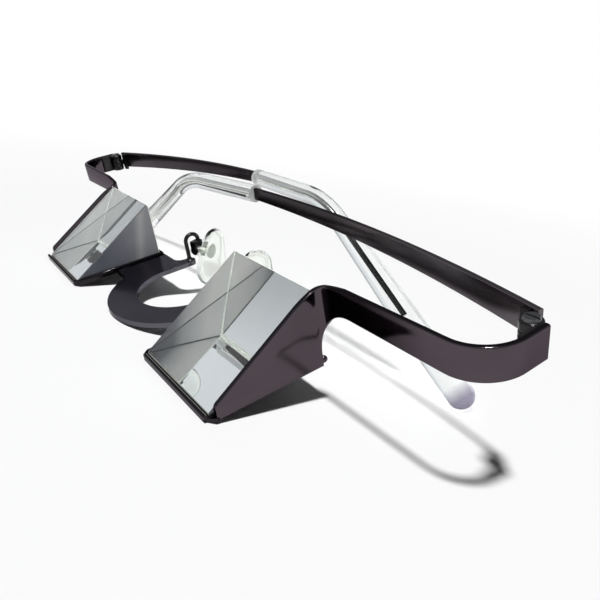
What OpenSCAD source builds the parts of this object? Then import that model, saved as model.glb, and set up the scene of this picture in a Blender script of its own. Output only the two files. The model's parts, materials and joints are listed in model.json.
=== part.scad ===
// Prism belay glasses, lying as in the photograph: right way up on a table, temples folded.
// The level frame is used for drawing: X to the wearer's right, Y from the front to the back, Z up,
// with its zero at the middle of the two prisms' front bottom edges. place() then tilts all
// of it about X, because the glasses stand on the front edges of the trays and on the
// temple tips, and moves it so that the origin is the middle of the footprint on the table.

/* [Prisms] */
// distance between the centres of the two prisms (the wearer's eyes)
pupil_distance = 64; // [58:0.5:70]
// width of each prism
prism_width = 23; // [20:0.5:26]
// depth of each prism, front edge to back face
prism_depth = 20.4; // [18:0.1:23]
// height of each prism's back face
prism_height = 12.6; // [11:0.1:15]
// how far the thin front edge of the glass is ground back
prism_blunt = 0.6; // [0.4:0.05:1]
// thickness of the mirror backing under each prism
mirror_thickness = 0.15; // [0.1:0.05:0.3]

/* [Trays] */
// thickness of the folded sheet: floor, side plate and end piece
sheet = 0.9; // [0.7:0.05:1.2]
// thickness of the tray floor
floor_thickness = 0.6; // [0.5:0.05:1]
// thickness of the lips at the front, back and inner edge
lip_thickness = 0.6; // [0.4:0.05:0.9]
// height of the lips above the prism's bottom face
lip_height = 0.45; // [0.3:0.05:0.8]
// how far the side plate stands above the sloping glass
plate_proud = 0.85; // [0.6:0.05:1.6]
// where the side plate begins, behind the front edge
plate_start = 1.3; // [0.8:0.1:3]
// radius of the side plate's front upper corner
plate_round = 1.1; // [0.6:0.1:1.3]
// play round the glass in its tray
glass_clearance = 0.05; // [0.02:0.01:0.1]

/* [End pieces] */
// height of the end piece where it leaves the side plate
end_tall_inner = 4.5; // [4:0.1:5.5]
// height of the end piece at the hinge
end_tall_outer = 4.9; // [4.4:0.1:5.5]
// height of the end piece's middle line above the prism's bottom face
end_level = 11.85; // [11:0.05:13]
// straight run from the prism's outer face to the hinge bend
end_run = 24.8; // [20:0.05:28]
// radius of the hinge bend, at the middle of the sheet
end_bend = 6.1; // [5:0.1:8]
// straight part behind the bend, as far as the hinge axis
end_back = 4; // [3.3:0.05:5]
// radius of the fold between side plate and end piece
fold_radius = 1.5; // [1.2:0.1:2.5]
// radius of the round from the side plate's back edge to the end piece's lower edge
sweep = 5.8; // [4:0.1:6.5]

/* [Bridge] */
// outer radius of the horseshoe
bridge_outer = 16.5; // [15:0.1:18]
// inner radius of the horseshoe, half the width of the nose space
bridge_inner = 10; // [8.5:0.1:11]
// how far the horseshoe's centre lies behind the front edges
bridge_centre = 17.7; // [16.5:0.1:18]
// thickness of the bridge plate
bridge_thickness = 1.2; // [0.9:0.05:1.6]
// height of the bridge's top face above the prism's bottom face
bridge_top = -0.05; // [-0.2:0.05:0.5]
// width of the two tails that carry the pad arms
tail_width = 2.5; // [2:0.1:3]

/* [Hinges] */
// outer radius of the knuckles
knuckle_radius = 1.5; // [1.3:0.05:1.7]
// radius of the hinge screw's shank
hinge_pin = 0.65; // [0.5:0.05:0.8]
// running clearance of the hinge screw in the knuckles, on the radius
hinge_clearance = 0.05; // [0.02:0.01:0.08]
// height of the three knuckles together
hinge_tall = 4.4; // [4:0.1:5]
// gap between two knuckles
knuckle_gap = 0.06; // [0.04:0.01:0.12]
// length of the hinge leaf on the temple
leaf_length = 1.3; // [1:0.1:6]

/* [Temples] */
// angle between the folded right temple and the X axis at its hinge
fold_right = 9.6; // [8:0.1:12]
// angle between the folded left temple and the X axis at its hinge
fold_left = 15.4; // [14:0.1:18]
// length of the black spring strip along its bow
strip_length = 67.7; // [62:0.1:70]
// how much the strip turns over its length
strip_bow = 16.9; // [10:0.05:20]
// thickness of the spring strip
strip_thickness = 0.8; // [0.7:0.05:1.1]
// height of the strip at the hinge
strip_tall_hinge = 4.3; // [3.8:0.1:5]
// height of the strip where the clear tip begins
strip_tall_tip = 2.4; // [2:0.1:3]
// rise of the strip's middle line from hinge to tip
strip_rise = 3.25; // [1:0.05:4]

/* [Tips] */
// radius of the clear tube
tube_radius = 1.8; // [1.5:0.05:2]
// radius of the rounded end
bulb_radius = 2.4; // [2.1:0.05:2.6]
// straight part of the tube behind the strip
tip_straight = 19.7; // [17:0.1:22]
// length from the bend to the centre of the rounded end
tip_drop = 38.4; // [34:0.1:40]
// length of the even part at the end, where a cord sleeve sits
tip_even = 14; // [12:0.5:16]
// bend of the right tip
tip_bend_right = 30.88; // [28:0.02:34]
// radius of the right tip's bend
tip_radius_right = 21.7; // [20:0.1:26]
// bend of the left tip
tip_bend_left = 38.3; // [36:0.1:42]
// radius of the left tip's bend
tip_radius_left = 15.9; // [13:0.1:18]
// radius of the wire core inside the tube
core_radius = 0.35; // [0.3:0.05:0.7]
// how far the core runs into the dropped part
core_reach = 22; // [15:0.5:24]

/* [Nose pads] */
// diameter of the pad arm wire
wire_diameter = 0.9; // [0.8:0.05:1.2]
// radius of the wire's turn
wire_turn = 1.5; // [1.3:0.05:2]
// height of the straight part of the wire above the bridge
wire_rise = 4.2; // [3:0.1:4.5]
// height of a pad
pad_tall = 13.4; // [12:0.1:15]
// width of a pad
pad_wide = 9.2; // [8:0.1:10]
// thickness of a pad
pad_thick = 2.2; // [2:0.05:2.6]
// how far each pad's middle lies behind its screw
pad_back = 2.1; // [1.8:0.1:3]
// how far each pad's middle lies below its screw
pad_drop = 2.4; // [1:0.1:3]
// turn of each pad about the upright line, opening towards the face
pad_flare = 20; // [10:1:25]
// lean of each pad, wider apart at the bottom
pad_splay = 6; // [0:1:8]
// lean of each pad along the nose, its lower end towards the front
pad_lean = 20; // [10:1:25]
// radius of the pad screw
pad_pin = 0.4; // [0.3:0.05:0.5]
// running clearance of the pad screw, on the radius
pad_clearance = 0.04; // [0.02:0.01:0.06]

/* [Output] */
// piece to draw

/* [Hidden] */
$fn = 64;

// prism and tray, right side
prism_in = pupil_distance / 2 - prism_width / 2;
prism_out = pupil_distance / 2 + prism_width / 2;
slope = prism_height / prism_depth;
floor_top = -mirror_thickness - glass_clearance;
floor_low = floor_top - floor_thickness;
tray_front = -lip_thickness + 0.2;
tray_in = prism_in - lip_thickness;
plate_x = prism_out + glass_clearance;
plate_mid = plate_x + sheet / 2;
tray_back = prism_depth + glass_clearance + lip_thickness;
back_edge = prism_depth - 0.15;
bead_radius = 0.65;

// end piece
end_low = end_level - end_tall_outer / 2;
end_y = prism_depth + 0.95;
fold_y = end_y - fold_radius;
end_x = plate_mid + fold_radius;
bend_x = prism_out + end_run;
fold_top = slope * fold_y + plate_proud + 0.1;
sweep_level = end_level - end_tall_inner / 2 - sweep;
sweep_middle = (back_edge - fold_y) / sqrt(2) + sweep;
sweep_x = plate_mid - fold_radius + sweep_middle * sqrt(2);
outer_x = bend_x + end_bend;
hinge_y = end_y + end_bend + end_back;

// hinge, seen from its axis; the leaves lie against the inner faces of the sheet
leaf = 0.6;
leaf_start = knuckle_radius + 0.15;
hinge_x = outer_x - sheet / 2 - knuckle_radius - 0.1;
face_out = knuckle_radius + 0.1;
knuckle_tall = (hinge_tall - 2 * knuckle_gap) / 3;
hinge_low = end_level - hinge_tall / 2;
strip_start = 0.55;
head_radius = knuckle_radius - 0.35;
head_tall = 0.4;
head_gap = 0.02;
slot_wide = 0.24;
joint_lap = 0.3;
joint_step = 0.03;

// temple and tip
bow_radius = strip_length / strip_bow * 180 / PI;
strip_out = face_out + strip_thickness / 2;
leaf_seat = face_out - pow(leaf_start + leaf_length - strip_start, 2) / (2 * bow_radius) - 0.01;
strip_level = end_level + 0.4;
tip_level = strip_level + strip_rise;
strip_x = strip_start + bow_radius * sin(strip_bow);
strip_y = bow_radius * (1 - cos(strip_bow)) - strip_out;

// how the glasses lie on the table: the tray's front bottom edge and the left tip touch it
reach = tip_straight + tip_radius_left * sin(tip_bend_left) + tip_drop * cos(tip_bend_left);
rest_y = hinge_y + (strip_x + reach * cos(strip_bow)) * sin(fold_left)
  - (strip_y + reach * sin(strip_bow)) * cos(fold_left);
rest_z = tip_level - tip_radius_left * (1 - cos(tip_bend_left)) - tip_drop * sin(tip_bend_left);
rest_gap = norm([rest_y - tray_front, rest_z - floor_low]);
tilt = atan2(floor_low - rest_z, rest_y - tray_front) + asin(bulb_radius / rest_gap);
lift = -(tray_front * sin(tilt) + floor_low * cos(tilt));
low_y = tray_front * cos(tilt) - lip_height * sin(tilt);
high_y = rest_y * cos(tilt) - rest_z * sin(tilt) + bulb_radius;

// nose pads, right side: joint at the pad screw
wire_x = bridge_inner + tail_width / 2;
wire_y = end_y + 2.45;
wire_top = bridge_top + wire_rise;
wire_behind = 0.75;
joint_x = wire_x - wire_behind * sin(pad_flare);
joint_y = wire_y + 2 * wire_turn - wire_behind * cos(pad_flare);
joint_z = wire_top - 2.4;
ear = 0.5;
lug = 1.2;
ear_gap = 0.1;
ear_radius = 1;
clevis = lug + 2 * ear_gap + 2 * ear;
pad_off = ear_radius + 0.55;
core_deep = 0.8;
core_thick = 0.6;
core_half = 1.2;
core_gap = 0.02;

module place() {
  translate([0, -(low_y + high_y) / 2, lift]) rotate([tilt, 0, 0]) children();
}

module other_side() {
  mirror([1, 0, 0]) children();
}

// Bridge: flat horseshoe with wings to the trays and two tails for the pad arms
module bridge_outline() {
  difference() {
    union() {
      intersection() {
        translate([0, bridge_centre]) circle(bridge_outer);
        translate([-bridge_outer, 0]) square([2 * bridge_outer, end_y - 0.1]);
      }
      translate([-tray_in, bridge_centre - 8.4]) square([2 * tray_in, end_y + 8.3 - bridge_centre]);
    }
    translate([0, bridge_centre - 0.4]) circle(bridge_inner);
    translate([-bridge_inner, bridge_centre - 0.4]) square([2 * bridge_inner, 12]);
  }
}

module bridge_tail() {
  translate([bridge_inner, end_y - 2]) square([tail_width, wire_y - end_y + 2]);
  translate([wire_x, wire_y]) circle(tail_width / 2);
  difference() {
    translate([wire_x, end_y - 0.1]) square([tail_width / 2 + 2, 2]);
    translate([wire_x + tail_width / 2 + 2, end_y + 1.9]) circle(2);
  }
}

module bridge() {
  color([0.08, 0.08, 0.09])
  place() translate([0, 0, bridge_top - bridge_thickness]) linear_extrude(bridge_thickness) {
    bridge_outline();
    bridge_tail();
    mirror([1, 0]) bridge_tail();
  }
}

// Tray: floor, lips and side plate, folded with the end piece from one sheet
module tray_floor() {
  difference() {
    translate([tray_in, tray_front, floor_low])
      cube([plate_x + sheet - tray_in, tray_back - tray_front, floor_thickness]);
    translate([tray_in, tray_front, floor_low]) rotate([0, 0, 45])
      cube([1.4, 1.4, 5 * floor_thickness], center = true);
    translate([plate_x + sheet, tray_front, floor_low]) rotate([0, 0, 45])
      cube([2, 2, 5 * floor_thickness], center = true);
  }
}

module tray_lips() {
  high = lip_height - floor_top;
  translate([tray_in + 1, tray_front, floor_top - 0.1])
    cube([plate_x - tray_in - 1.4, lip_thickness, high + 0.1]);
  translate([tray_in, tray_front + 1, floor_top - 0.1])
    cube([lip_thickness - glass_clearance, tray_back - tray_front - 1, high + 0.1]);
  translate([tray_in, tray_back - lip_thickness, floor_top - 0.1])
    cube([plate_x - tray_in, lip_thickness, high + 0.1]);
}

module side_plate() {
  angle = atan(slope);
  corner_y = plate_start + plate_round;
  corner_z = slope * corner_y + plate_proud - plate_round / cos(angle);
  translate([plate_x, 0, 0]) rotate([90, 0, 90]) linear_extrude(sheet)
    polygon(concat([[plate_start, floor_low], [back_edge, floor_low],
      [back_edge, sweep_level + 0.8], [fold_y, sweep_level + 0.8], [fold_y, fold_top],
      [fold_y - 0.4, slope * (fold_y - 0.4) + plate_proud]],
      [for (i = [0:5]) let (a = 90 + angle + i * (90 - angle) / 5)
        [corner_y + plate_round * cos(a), corner_z + plate_round * sin(a)]]));
  translate([plate_mid, back_edge + 0.3, bead_radius + floor_low + 0.4]) sphere(bead_radius);
}

// what the round behind the side plate takes away: a bar square to the fold's diagonal, so
// that the sheet's edge turns evenly from the upright plate into the level end piece
module sweep_cut() {
  translate([plate_mid, fold_y, sweep_level]) rotate([0, 0, 45])
    translate([sweep_middle, 0, 0]) rotate([90, 0, 0])
      cylinder(r = sweep + 0.03, h = 6 * sweep, center = true, $fn = 96);
}

// the end piece follows an L fold, a long run and the hinge bend; its lower edge sweeps
// up in a round from the side plate and its top edge rises to full height
module end_piece() {
  half = end_tall_inner / 2;
  out = end_tall_outer / 2;
  difference() {
    union() {
      translate([end_x, fold_y, sweep_level + 0.5]) rotate([0, 0, 90])
        rotate_extrude(angle = 90) translate([fold_radius - sheet / 2, 0])
          square([sheet, fold_top - sweep_level - 0.5]);
      translate([0, end_y + sheet / 2, 0]) rotate([90, 0, 0]) linear_extrude(sheet)
        polygon([[end_x, sweep_level + 0.5], [sweep_x, sweep_level + 0.5],
          [sweep_x, end_level - half], [bend_x, end_level - out], [bend_x, end_level + out],
          [end_x + 4.4, end_level + half], [end_x + 1.5, end_level + half - 0.3],
          [end_x, fold_top]]);
    }
    sweep_cut();
  }
  translate([bend_x, end_y + end_bend, end_low]) rotate([0, 0, -90])
    rotate_extrude(angle = 90) translate([end_bend - sheet / 2, 0])
      square([sheet, end_tall_outer]);
  translate([outer_x - sheet / 2, end_y + end_bend, end_low])
    cube([sheet, end_back, end_tall_outer]);
}

module tray() {
  tray_floor();
  tray_lips();
  side_plate();
  end_piece();
}

module tray_right() {
  color([0.1, 0.09, 0.09]) place() tray();
}

module tray_left() {
  color([0.1, 0.09, 0.09]) place() other_side() tray();
}

// Prism: back face upright, bottom face mirrored, long face sloping up from the front
module prism() {
  c = glass_clearance;
  translate([prism_in + c, 0, 0]) rotate([90, 0, 90]) linear_extrude(prism_width - 2 * c)
    polygon([[prism_blunt, 0], [prism_depth, 0], [prism_depth, prism_height],
      [prism_blunt, slope * prism_blunt]]);
}

module prism_right() {
  color([0.6, 0.65, 0.68, 0.4]) place() prism();
}

module prism_left() {
  color([0.6, 0.65, 0.68, 0.4]) place() other_side() prism();
}

module mirror_backing() {
  c = glass_clearance;
  translate([prism_in + c, prism_blunt, floor_top + c / 2])
    cube([prism_width - 2 * c, prism_depth - prism_blunt, mirror_thickness]);
}

module mirror_right() {
  color([0.85, 0.87, 0.88]) place() mirror_backing();
}

module mirror_left() {
  color([0.85, 0.87, 0.88]) place() other_side() mirror_backing();
}

// Front half of the hinge: leaf on the end piece, lower and upper knuckle
module front_knuckle(z) {
  translate([0, 0, z]) difference() {
    union() {
      cylinder(r = knuckle_radius, h = knuckle_tall);
      translate([0, -knuckle_radius, 0]) cube([face_out, knuckle_radius, knuckle_tall]);
    }
    translate([0, 0, -1]) cylinder(r = hinge_pin + hinge_clearance, h = knuckle_tall + 2);
  }
}

module hinge_front() {
  translate([hinge_x, hinge_y, 0]) {
    front_knuckle(hinge_low);
    front_knuckle(hinge_low + 2 * (knuckle_tall + knuckle_gap));
    translate([face_out - leaf, -end_back, hinge_low])
      cube([leaf, end_back - knuckle_radius - 0.15, hinge_tall]);
    translate([face_out - leaf, -knuckle_radius - 0.2, hinge_low])
      cube([leaf, 0.3, knuckle_tall]);
    translate([face_out - leaf, -knuckle_radius - 0.2, hinge_low + hinge_tall - knuckle_tall])
      cube([leaf, 0.3, knuckle_tall]);
  }
}

module hinge_front_right() {
  color([0.06, 0.06, 0.07]) place() hinge_front();
}

module hinge_front_left() {
  color([0.06, 0.06, 0.07]) place() other_side() hinge_front();
}

// Temple frame: x along the folded temple from the hinge axis, inner side towards +y
module temple_frame(fold) {
  translate([hinge_x, hinge_y, 0]) rotate([0, 0, 180 - fold]) children();
}

module hinge_temple() {
  z = hinge_low + knuckle_tall + knuckle_gap;
  difference() {
    union() {
      translate([0, 0, z]) cylinder(r = knuckle_radius, h = knuckle_tall);
      translate([0, -leaf_seat, z]) cube([knuckle_radius + 0.3, leaf_seat - 0.4, knuckle_tall]);
      translate([leaf_start, -leaf_seat, hinge_low]) cube([leaf_length, leaf, hinge_tall]);
    }
    translate([0, 0, z - 1]) cylinder(r = hinge_pin + hinge_clearance, h = knuckle_tall + 2);
  }
}

module hinge_temple_right() {
  color([0.06, 0.06, 0.07]) place() temple_frame(fold_right) hinge_temple();
}

module hinge_temple_left() {
  color([0.06, 0.06, 0.07]) place() other_side() temple_frame(fold_left) hinge_temple();
}

// Screw head: slightly conical, with a slot through half its height
module slotted_head(r, slot) {
  difference() {
    cylinder(r1 = r, r2 = 0.85 * r, h = head_tall);
    translate([-2 * r, -slot / 2, head_tall / 2]) cube([4 * r, slot, head_tall]);
  }
}

// Hinge screw with a slotted head on the upper knuckle
module hinge_screw() {
  translate([hinge_x, hinge_y, hinge_low]) {
    cylinder(r = hinge_pin, h = hinge_tall + head_tall / 2);
    translate([0, 0, hinge_tall + head_gap]) slotted_head(head_radius, slot_wide);
  }
}

module hinge_screw_right() {
  color([0.5, 0.5, 0.52]) place() hinge_screw();
}

module hinge_screw_left() {
  color([0.5, 0.5, 0.52]) place() other_side() hinge_screw();
}

// Temple: bowed spring strip, lower towards the tip, ending in a round wire core
module temple_strip() {
  z0 = strip_level;
  a = strip_tall_hinge / 2;
  b = strip_tall_tip / 2;
  room = 4 * strip_tall_hinge;
  intersection() {
    translate([strip_start, bow_radius - strip_out, strip_level - room / 2]) rotate([0, 0, -90])
      rotate_extrude(angle = strip_bow, $fn = 256)
        translate([bow_radius - strip_thickness / 2, 0]) square([strip_thickness, room]);
    translate([0, room, 0]) rotate([90, 0, 0]) linear_extrude(2 * room)
      polygon([[strip_start, z0 - a], [strip_x, tip_level - b], [strip_x + 0.4, tip_level - b],
        [strip_x + 0.4, tip_level + b], [strip_x, tip_level + b], [strip_start, z0 + a]]);
  }
}

module tip_frame() {
  translate([strip_x, strip_y, tip_level]) rotate([0, 0, strip_bow]) children();
}

// a round rod of radius r along the tip: straight, bent down, then on for a length;
// the bend is thinner by a hair and runs into the ends of the straight parts
module bent_rod(r, bend, radius, on, from) {
  translate([from, 0, 0]) rotate([0, 90, 0]) cylinder(r = r, h = tip_straight + joint_lap - from);
  translate([tip_straight, 0, -radius]) rotate([90, 0, 0]) rotate([0, 0, 90 - bend])
    rotate_extrude(angle = bend) translate([radius, 0]) circle(r - joint_step);
  tip_end(bend, radius) translate([0, 0, -joint_lap]) cylinder(r = r, h = on + joint_lap);
}

module tip_end(bend, radius) {
  translate([tip_straight + radius * sin(bend), 0, -radius * (1 - cos(bend))])
    rotate([0, 90 + bend, 0]) children();
}

module temple(bend, radius) {
  temple_strip();
  tip_frame() bent_rod(core_radius, bend, radius, core_reach, -0.3);
}

module temple_right() {
  color([0.09, 0.08, 0.08]) place() temple_frame(fold_right)
    temple(tip_bend_right, tip_radius_right);
}

module temple_left() {
  color([0.09, 0.08, 0.08]) place() other_side() temple_frame(fold_left)
    temple(tip_bend_left, tip_radius_left);
}

// Clear tip: soft tube over the core, thicker towards its rounded end
module tip_profile() {
  taper = tip_drop - tip_even;
  polygon([[0, -joint_lap], [tube_radius, -joint_lap], [tube_radius, 1], [bulb_radius, taper],
    [bulb_radius, tip_drop], [0, tip_drop]]);
  intersection() {
    translate([0, tip_drop]) circle(bulb_radius);
    translate([0, tip_drop - 1]) square([bulb_radius + 1, bulb_radius + 2]);
  }
}

module temple_tip(bend, radius) {
  tip_frame() difference() {
    union() {
      translate([0.06, 0, 0]) rotate([0, 90, 0])
        cylinder(r = tube_radius, h = tip_straight + joint_lap - 0.06);
      translate([tip_straight, 0, -radius]) rotate([90, 0, 0]) rotate([0, 0, 90 - bend])
        rotate_extrude(angle = bend) translate([radius, 0]) circle(tube_radius - joint_step);
      tip_end(bend, radius) rotate_extrude() tip_profile();
    }
    bent_rod(core_radius + 0.02, bend, radius, core_reach + 0.05, -1);
  }
}

module temple_tip_right() {
  color([0.9, 0.93, 0.95, 0.4]) place() temple_frame(fold_right)
    temple_tip(tip_bend_right, tip_radius_right);
}

module temple_tip_left() {
  color([0.9, 0.93, 0.95, 0.4]) place() other_side() temple_frame(fold_left)
    temple_tip(tip_bend_left, tip_radius_left);
}

// Pad frame: at the pad screw, x towards the nose, y along the screw
module pad_frame() {
  translate([joint_x, joint_y, joint_z]) rotate([0, 0, 180 - pad_flare]) children();
}

// Pad arm: wire up from the bridge's tail, over and down to a small clevis
module pad_arm() {
  r = wire_diameter / 2;
  translate([wire_x, wire_y, bridge_top]) cylinder(r = r, h = wire_rise);
  translate([wire_x, wire_y + wire_turn, wire_top]) rotate([90, 0, 90])
    rotate_extrude(angle = 180) translate([wire_turn, 0]) circle(r);
  translate([wire_x, wire_y + 2 * wire_turn, wire_top - 0.8]) cylinder(r = r, h = 0.8);
  pad_frame() difference() {
    union() {
      translate([0, clevis / 2, 0]) rotate([90, 0, 0]) cylinder(r = ear_radius, h = clevis);
      translate([-0.8, -clevis / 2, 0]) cube([1.6, clevis, 2.2]);
    }
    translate([-3, -lug / 2 - ear_gap, -3]) cube([6, lug + 2 * ear_gap, 3 + ear_radius + 0.1]);
    translate([0, 3, 0]) rotate([90, 0, 0]) cylinder(r = pad_pin + pad_clearance, h = 6);
  }
}

module pad_arm_right() {
  color([0.07, 0.07, 0.08]) place() pad_arm();
}

module pad_arm_left() {
  color([0.07, 0.07, 0.08]) place() other_side() pad_arm();
}

module pad_screw() {
  pad_frame() rotate([90, 0, 0]) {
    translate([0, 0, -clevis / 2]) cylinder(r = pad_pin, h = clevis + head_tall / 2);
    translate([0, 0, clevis / 2 + head_gap]) slotted_head(ear_radius - 0.25, slot_wide);
  }
}

module pad_screw_right() {
  color([0.5, 0.5, 0.52]) place() pad_screw();
}

module pad_screw_left() {
  color([0.5, 0.5, 0.52]) place() other_side() pad_screw();
}

// Pad core: lug on the screw and the plate moulded into the pad
module pad_seat() {
  translate([pad_off, -pad_back, -pad_drop]) rotate([pad_lean, 0, 0]) rotate([0, pad_splay, 0])
    children();
}

module core_plate(c) {
  pad_seat() translate([core_deep - c, -core_half - c, -core_half - c])
    cube([core_thick + 2 * c, pad_back + core_half + 2 * c, pad_drop + 2 * core_half + 2 * c]);
}

module core_lug(c) {
  translate([0, -lug / 2 - c, -lug / 2 - c])
    cube([pad_off + core_deep + core_thick / 2 + c, lug + 2 * c, lug + 2 * c]);
}

module pad_core() {
  pad_frame() difference() {
    union() {
      translate([0, lug / 2, 0]) rotate([90, 0, 0]) cylinder(r = ear_radius - 0.15, h = lug);
      core_lug(0);
      core_plate(0);
    }
    translate([0, 3, 0]) rotate([90, 0, 0]) cylinder(r = pad_pin + pad_clearance, h = 6);
  }
}

module pad_core_right() {
  color([0.7, 0.72, 0.7]) place() pad_core();
}

module pad_core_left() {
  color([0.7, 0.72, 0.7]) place() other_side() pad_core();
}

// Nose pad: soft drop shape, round at the top and wider below
module pad_outline() {
  r = pad_wide / 2;
  hull() {
    translate([0, -pad_tall / 2 + r]) circle(r);
    translate([0.4, pad_tall / 2 - r * 0.7]) circle(r * 0.7);
  }
}

module nose_pad() {
  pad_frame() difference() {
    pad_seat() rotate([90, 0, 90]) linear_extrude(pad_thick) pad_outline();
    core_plate(core_gap);
    core_lug(core_gap);
  }
}

module nose_pad_right() {
  color([0.92, 0.95, 0.93, 0.4]) place() nose_pad();
}

module nose_pad_left() {
  color([0.92, 0.95, 0.93, 0.4]) place() other_side() nose_pad();
}

bridge();
tray_right();
tray_left();
prism_right();
prism_left();
mirror_right();
mirror_left();
hinge_front_right();
hinge_front_left();
hinge_temple_right();
hinge_temple_left();
hinge_screw_right();
hinge_screw_left();
temple_right();
temple_left();
temple_tip_right();
temple_tip_left();
pad_arm_right();
pad_arm_left();
pad_screw_right();
pad_screw_left();
pad_core_right();
pad_core_left();
nose_pad_right();
nose_pad_left();
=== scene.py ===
"""Prism belay glasses lying folded on a white table."""
import json
import math
import bpy
import numpy as np
from mathutils import Matrix, Vector


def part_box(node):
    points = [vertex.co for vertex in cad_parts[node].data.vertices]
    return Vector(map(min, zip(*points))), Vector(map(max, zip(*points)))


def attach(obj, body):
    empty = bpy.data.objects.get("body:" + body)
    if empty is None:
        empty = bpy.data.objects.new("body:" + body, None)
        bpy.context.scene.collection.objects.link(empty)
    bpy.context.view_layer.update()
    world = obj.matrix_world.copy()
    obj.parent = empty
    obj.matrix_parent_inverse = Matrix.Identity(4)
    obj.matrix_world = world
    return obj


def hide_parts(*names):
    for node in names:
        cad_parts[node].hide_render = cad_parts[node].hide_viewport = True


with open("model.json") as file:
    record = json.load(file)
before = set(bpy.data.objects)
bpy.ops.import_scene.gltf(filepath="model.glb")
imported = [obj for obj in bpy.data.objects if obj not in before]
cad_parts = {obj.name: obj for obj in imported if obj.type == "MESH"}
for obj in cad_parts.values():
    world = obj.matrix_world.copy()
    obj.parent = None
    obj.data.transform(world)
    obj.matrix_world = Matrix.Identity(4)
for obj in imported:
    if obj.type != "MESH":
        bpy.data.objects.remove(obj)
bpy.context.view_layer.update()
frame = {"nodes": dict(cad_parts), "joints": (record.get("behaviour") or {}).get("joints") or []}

# Camera
# It stands about 13 cm from the glasses, off the wearer's right front corner, looks down a
# little and is turned about its own axis. Its place and lens come from the photograph's
# perspective.
camera_place = Vector((0.10784, -0.05851, 0.04246))
camera_azimuth, camera_elevation, camera_roll = (math.radians(a) for a in (52.07, 17.01, 8.48))
camera_lens = 35.16


def camera_axes(azimuth, elevation, roll):
    """Right, up and back of a camera: back from its two angles, the others turned by the roll."""
    back = Vector((math.sin(azimuth) * math.cos(elevation),
                   -math.cos(azimuth) * math.cos(elevation), math.sin(elevation)))
    level = Vector((math.cos(azimuth), math.sin(azimuth), 0))
    above = back.cross(level)
    right = level * math.cos(roll) + above * math.sin(roll)
    return right, back.cross(right), back


scene = bpy.context.scene
camera = bpy.data.objects.new("camera", bpy.data.cameras.new("camera"))
scene.collection.objects.link(camera)
axes = Matrix(camera_axes(camera_azimuth, camera_elevation, camera_roll)).transposed().to_4x4()
camera.matrix_world = Matrix.Translation(camera_place) @ axes
camera.data.lens = camera_lens
camera.data.sensor_width = 36
camera.data.clip_start = 0.005
scene.camera = camera
scene.view_settings.view_transform = "Standard"

# Studio
# A nearly matt white table in a white tent. One lamp overhead gives the clear shadows. Metal
# and glass see the tent, which is white round the sides and greyer overhead.
MM = 0.001


def material(name):
    """A new node material, its shader, and functions that add a node and link two sockets."""
    made = bpy.data.materials.new(name)
    made.use_nodes = True
    tree = made.node_tree

    def add(kind, **values):
        """A node of a kind, with values set on its sockets or else on itself."""
        node = tree.nodes.new(kind)
        for key, value in values.items():
            if key in node.inputs:
                node.inputs[key].default_value = value
            else:
                setattr(node, key, value)
        return node

    return made, tree.nodes["Principled BSDF"], add, tree.links.new


def limits(node, low, high, end="To"):
    """Set where what a Map Range node gives (To) or takes (From) begins and ends."""
    node.inputs[end + " Min"].default_value, node.inputs[end + " Max"].default_value = low, high
    return node


def fill_ramp(shade, stops):
    """Give a colour ramp its stops, each a share of the way and a colour."""
    while len(shade.color_ramp.elements) < len(stops):
        shade.color_ramp.elements.new(0.5)
    for stop, (at, tone) in zip(shade.color_ramp.elements, stops):
        stop.position, stop.color = at, (*tone, 1)
    return shade


def table_finish():
    """Pale, nearly matt board. Well away from the glasses it fades into the white tent."""
    made, shader, add, link = material("white_table")
    shader.inputs["Base Color"].default_value = (0.94, 0.94, 0.94, 1)
    shader.inputs["Specular IOR Level"].default_value = 0.1
    where = add("ShaderNodeTexCoord")
    grain = add("ShaderNodeTexNoise", Scale=60.0, Detail=3.0)
    rough = limits(add("ShaderNodeMapRange"), 0.6, 0.75)
    away = add("ShaderNodeVectorMath", operation="LENGTH")
    fade = limits(add("ShaderNodeMapRange"), 0.14, 0.45, "From")
    white = add("ShaderNodeEmission")
    both = add("ShaderNodeMixShader")
    link(where.outputs["Object"], grain.inputs["Vector"])
    link(grain.outputs["Fac"], rough.inputs["Value"])
    link(rough.outputs["Result"], shader.inputs["Roughness"])
    link(where.outputs["Object"], away.inputs[0])
    link(away.outputs["Value"], fade.inputs["Value"])
    link(fade.outputs["Result"], both.inputs[0])
    link(shader.outputs[0], both.inputs[1])
    link(white.outputs[0], both.inputs[2])
    link(both.outputs[0], made.node_tree.nodes["Material Output"].inputs["Surface"])
    return made


table_half = 3.0
table = bpy.data.objects.new("table", bpy.data.meshes.new("table"))
table.data.from_pydata([(-table_half, -table_half, 0), (table_half, -table_half, 0),
                        (table_half, table_half, 0), (-table_half, table_half, 0)], [],
                       [(0, 1, 2, 3)])
table.data.materials.append(table_finish())
scene.collection.objects.link(table)

lamp = bpy.data.objects.new("lamp_overhead", bpy.data.lights.new("lamp_overhead", "SUN"))
lamp.data.energy, lamp.data.angle = 3.32, math.radians(6.5)
lamp_from = Vector((0.178, -0.305, 0.924))
lamp.rotation_euler = lamp_from.to_track_quat("Z", "Y").to_euler()
scene.collection.objects.link(lamp)

world = bpy.data.worlds.new("tent")
scene.world = world
world.use_nodes = True
tent = world.node_tree
rays = tent.nodes.new("ShaderNodeLightPath")
ambient = tent.nodes["Background"]
ambient.inputs["Color"].default_value = (0.95, 0.97, 1, 1)
ambient.inputs["Strength"].default_value = 0.04
backdrop, sheen = (tent.nodes.new("ShaderNodeBackground") for _ in range(2))
backdrop.inputs["Color"].default_value = (1, 1, 1, 1)
toward = tent.nodes.new("ShaderNodeTexCoord")
height = tent.nodes.new("ShaderNodeSeparateXYZ")
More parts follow.
